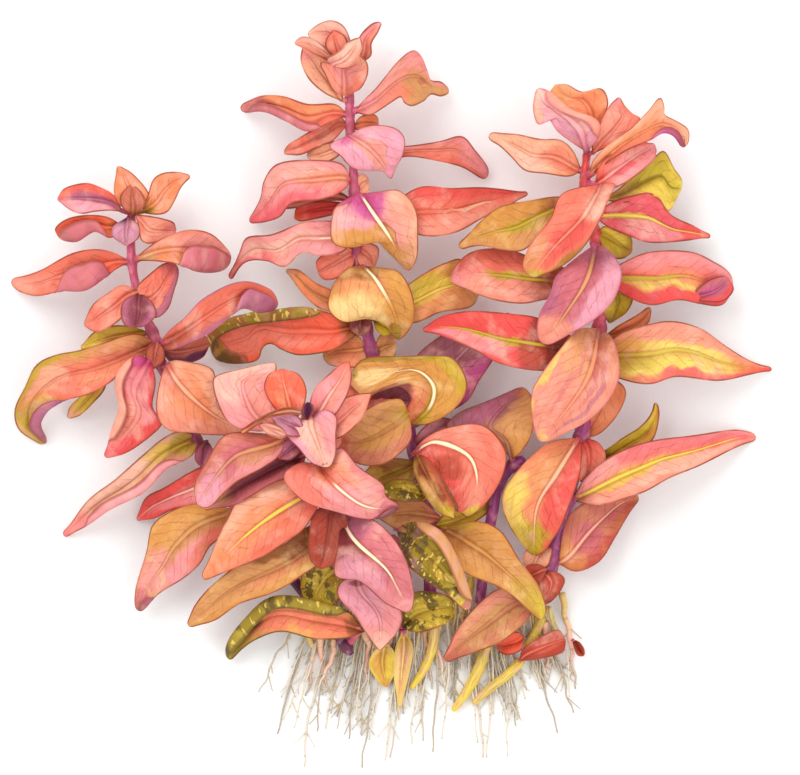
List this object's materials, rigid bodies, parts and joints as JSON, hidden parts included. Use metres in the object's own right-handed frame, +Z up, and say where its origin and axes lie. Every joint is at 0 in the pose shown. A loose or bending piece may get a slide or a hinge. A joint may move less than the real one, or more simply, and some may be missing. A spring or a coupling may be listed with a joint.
{
  "type": "rotala bunch",
  "caption": "Rooted bunch of a broad-leaved red aquarium plant lying on its back, with coral, pink and olive leaves on purple-red stems and a fan of pale roots.",
  "frame": {"origin": "middle of the area that the bunch covers, on the surface that it lies on", "axes": "+Y from the roots towards the stem tips, +X to the right as seen from above, +Z up from the surface"},
  "size_m": [0.153, 0.1498, 0.0321],
  "materials": {
    "coral": "coral leaf, satin",
    "salmon": "salmon leaf, satin",
    "pink": "pink leaf, satin",
    "mauve": "mauve leaf, satin",
    "red": "red leaf, satin",
    "ochre": "ochre leaf, satin",
    "olive": "olive leaf, satin",
    "stem": "purple-red stem, satin",
    "root": "cream root, satin"
  },
  "bodies": {
    "root": {"front_leaf_1": "pink", "front_leaf_10": "ochre", "front_leaf_12": "pink", "front_leaf_14": "salmon", "front_leaf_5": "pink", "front_leaf_6": "mauve", "front_leaf_8": "coral", "left_leaf_11": "coral", "left_leaf_13": "coral", "left_leaf_16": "red", "left_leaf_17": "coral", "left_leaf_18": "pink", "left_leaf_2": "coral", "left_leaf_20": "ochre", "left_leaf_21": "salmon", "left_leaf_5": "coral", "left_leaf_7": "coral", "left_leaf_8": "coral", "left_leaf_9": "coral", "middle_leaf_1": "mauve", "right_leaf_1": "mauve", "right_leaf_10": "red", "right_leaf_12": "salmon", "right_leaf_13": "mauve", "right_leaf_14": "red", "right_leaf_17": "red", "right_leaf_18": "salmon", "right_leaf_19": "salmon", "right_leaf_21": "coral", "right_leaf_23": "salmon", "right_leaf_25": "mauve", "right_leaf_26": "mauve", "right_leaf_4": "coral", "right_leaf_7": "salmon", "right_leaf_8": "ochre", "right_leaf_9": "salmon", "roots_left": "root", "roots_right": "root", "stem_front": "stem", "stem_left": "stem", "stem_middle": "stem", "stem_right": "stem", "stem_tall": "stem", "tall_leaf_11": "pink", "tall_leaf_13": "salmon", "tall_leaf_15": "coral", "tall_leaf_17": "pink", "tall_leaf_18": "red", "tall_leaf_19": "salmon", "tall_leaf_2": "salmon", "tall_leaf_23": "ochre", "tall_leaf_24": "olive", "tall_leaf_25": "red", "tall_leaf_30": "ochre", "tall_leaf_32": "red", "tall_leaf_34": "ochre", "tall_leaf_35": "olive", "tall_leaf_5": "coral", "tall_leaf_7": "coral", "tall_leaf_8": "salmon"}
  },
  "joints": []
}
